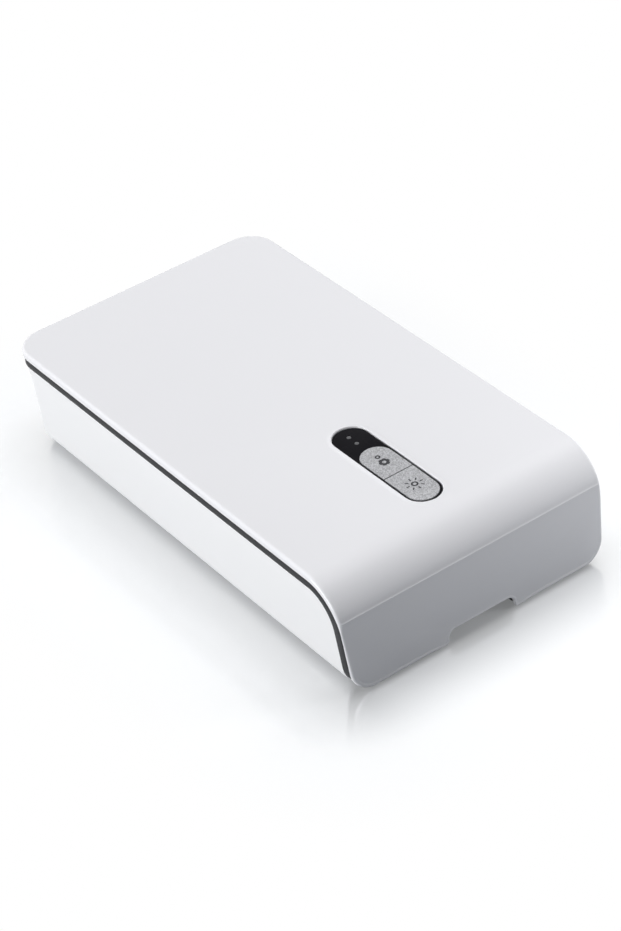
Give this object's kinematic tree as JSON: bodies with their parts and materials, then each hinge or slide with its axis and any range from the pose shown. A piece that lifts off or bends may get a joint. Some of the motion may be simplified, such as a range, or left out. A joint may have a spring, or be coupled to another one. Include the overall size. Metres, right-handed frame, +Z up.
{
  "type": "uv sanitizer box for phones",
  "caption": "Flat box with a hinged lid bent down over its front, a control pill with keys on top, and a mirrored lamp chamber for a phone inside.",
  "frame": {"origin": "on the surface that the box stands on, below the middle of its outline", "axes": "+X to the right seen from the front, +Y to the rear where the hinge is, +Z up"},
  "size_m": [0.12, 0.22, 0.0464],
  "materials": {
    "gloss_white": "glossy moulded white, slightly cool",
    "satin_white": "satin moulded white",
    "dark_grey": "fine satin dark grey",
    "gloss_black": "glossy black",
    "silver_paint": "silver paint with fine metal flakes",
    "mirror_plastic": "moulded plastic with a mirror coating",
    "reflector_sheet": "polished sheet",
    "lamp_glass": "clear lamp glass",
    "clear_plastic": "clear moulded plastic",
    "ceramic_white": "unglazed white",
    "soft_rubber": "matte soft rubber",
    "board_green": "green solder mask",
    "plain_steel": "plated steel",
    "felt": "pressed felt",
    "indicator_lens": "smoked lens, unlit"
  },
  "bodies": {
    "base": {"base_shell": "satin_white", "base_tray": "mirror_plastic", "chamber_seal": "soft_rubber", "phone_rack": "clear_plastic", "base_lamp_left": "lamp_glass", "base_lamp_right": "lamp_glass", "base_lamp_holder_left_front": "ceramic_white", "base_lamp_holder_left_rear": "ceramic_white", "base_lamp_holder_right_front": "ceramic_white", "base_lamp_holder_right_rear": "ceramic_white", "base_magnet_left": "plain_steel", "base_magnet_right": "plain_steel", "hinge_pin_left": "plain_steel", "hinge_pin_right": "plain_steel", "aroma_pad": "felt", "aroma_cap": "satin_white", "main_board": "board_green", "lamp_driver": "gloss_black", "usb_socket": "plain_steel", "lid_sensor": "gloss_black", "foot_1": "soft_rubber", "foot_2": "soft_rubber", "foot_3": "soft_rubber", "foot_4": "soft_rubber", "base_screw_1": "plain_steel", "base_screw_2": "plain_steel", "base_screw_3": "plain_steel", "base_screw_4": "plain_steel", "board_screw_1": "plain_steel", "board_screw_2": "plain_steel"},
    "lid": {"lid_cover": "gloss_white", "lid_frame": "dark_grey", "control_bezel": "gloss_black", "control_board": "board_green", "indicator_rear": "indicator_lens", "indicator_front": "indicator_lens", "lid_reflector_left": "reflector_sheet", "lid_reflector_right": "reflector_sheet", "lid_lamp_left": "lamp_glass", "lid_lamp_right": "lamp_glass", "lid_lamp_holder_left_front": "ceramic_white", "lid_lamp_holder_left_rear": "ceramic_white", "lid_lamp_holder_right_front": "ceramic_white", "lid_lamp_holder_right_rear": "ceramic_white", "lid_magnet_left": "plain_steel", "lid_magnet_right": "plain_steel", "lid_screw_1": "plain_steel", "lid_screw_2": "plain_steel", "lid_screw_3": "plain_steel", "lid_screw_4": "plain_steel", "lid_screw_5": "plain_steel", "lid_screw_6": "plain_steel", "rear_switch": "plain_steel", "front_switch": "plain_steel"},
    "rear_button": {"rear_key": "silver_paint", "rear_plunger": "gloss_black"},
    "front_button": {"front_key": "silver_paint", "front_plunger": "gloss_black"}
  },
  "joints": [
    {"name": "lid_hinge", "type": "hinge", "parent": "base", "child": "lid", "pos_m": [0, 0.1068, 0.0392], "axis": [-1, 0, 0], "range_deg": [0, 85]},
    {"name": "rear_key_press", "type": "slide", "parent": "lid", "child": "rear_button", "axis": [0, 0, -1], "range_m": [0, 0.0006], "stiffness_N_per_m": 1500},
    {"name": "front_key_press", "type": "slide", "parent": "lid", "child": "front_button", "axis": [0, 0, -1], "range_m": [0, 0.0006], "stiffness_N_per_m": 1500}
  ]
}
